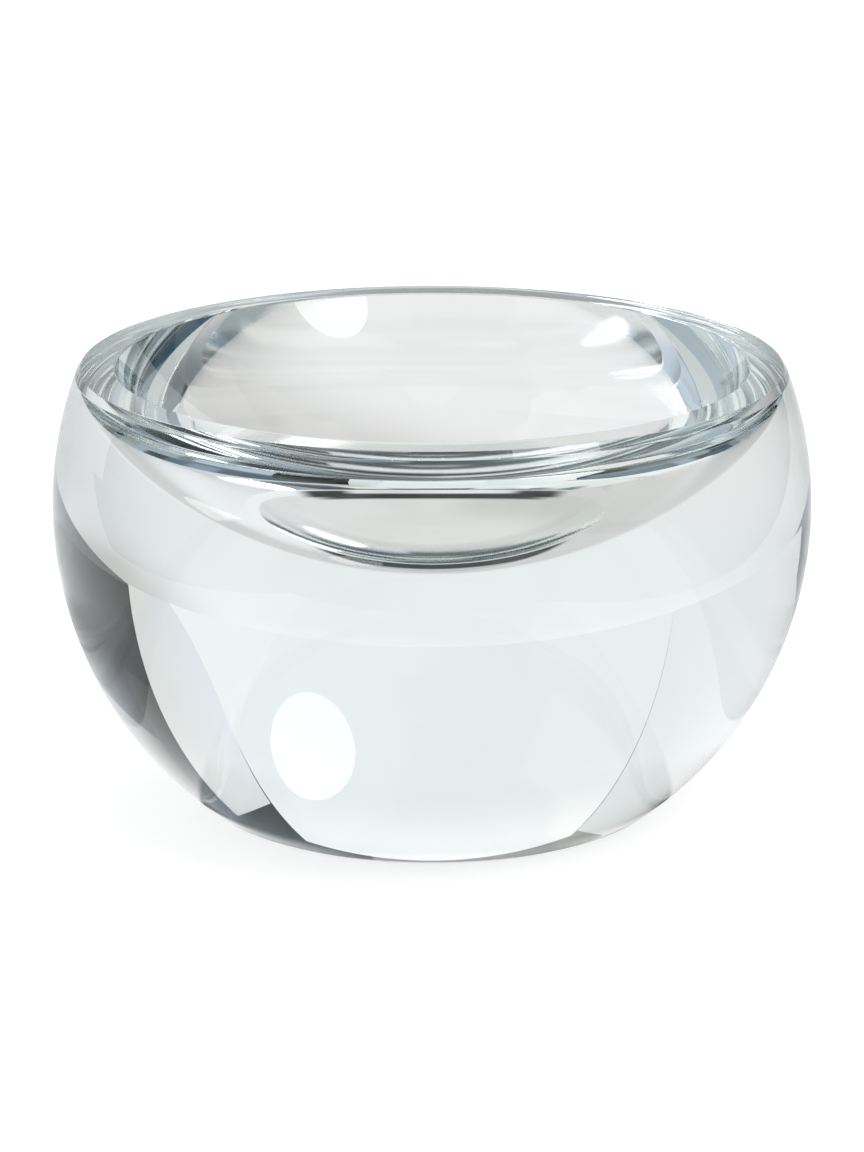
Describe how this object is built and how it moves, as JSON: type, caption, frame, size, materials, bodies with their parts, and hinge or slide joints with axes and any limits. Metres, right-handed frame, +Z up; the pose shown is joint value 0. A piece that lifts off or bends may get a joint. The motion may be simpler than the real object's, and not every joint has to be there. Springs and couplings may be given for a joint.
{
  "type": "floating candle bowl",
  "caption": "Heavy round bowl of clear solid crystal with a flat bevelled rim, a shallow round hollow for water and a floating candle, and a flat ground foot.",
  "frame": {"origin": "centre of the ground foot, on the table", "axes": "+Z up along the bowl's axis of turning; +X and +Y are any two level directions at right angles"},
  "size_m": [0.15, 0.15, 0.0887],
  "materials": {
    "clear_crystal": "polished"
  },
  "bodies": {
    "root": {"crystal_bowl": "clear_crystal"}
  },
  "joints": []
}
